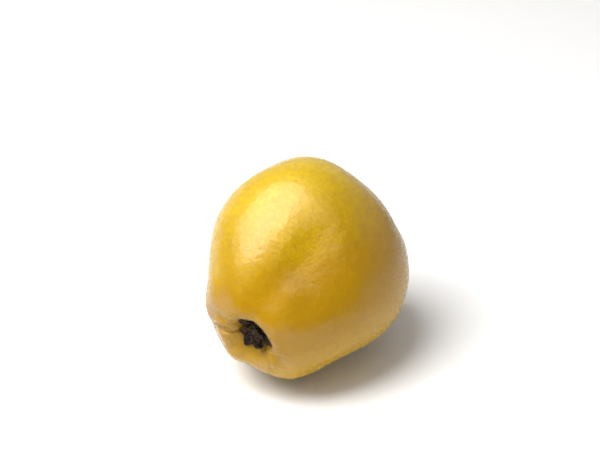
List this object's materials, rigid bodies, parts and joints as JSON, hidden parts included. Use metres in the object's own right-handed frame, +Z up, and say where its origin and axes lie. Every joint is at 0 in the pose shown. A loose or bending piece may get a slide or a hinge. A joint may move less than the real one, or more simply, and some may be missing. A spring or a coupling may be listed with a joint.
{
  "type": "quince",
  "caption": "Whole ripe yellow quince lying on its side, with lobed ends, a dried calyx in one hollow and a short stalk stub in the other.",
  "frame": {"origin": "the middle of the small flat spot that the fruit rests on", "axes": "+Z up from the flat spot, -Y towards the dried calyx, +Y towards the stalk stub, +X to the right when the calyx faces the viewer"},
  "size_m": [0.0809, 0.0918, 0.0839],
  "materials": {
    "skin": "satin, waxy fruit skin with a thin down",
    "withered_sepal": "dry matte, crumpled leaf",
    "dry_stamen": "dry matte thread",
    "stalk": "rough matte wood"
  },
  "bodies": {
    "root": {"fruit": "skin", "calyx_sepals": "withered_sepal", "calyx_stamens": "dry_stamen", "stem_stub": "stalk"}
  },
  "joints": []
}
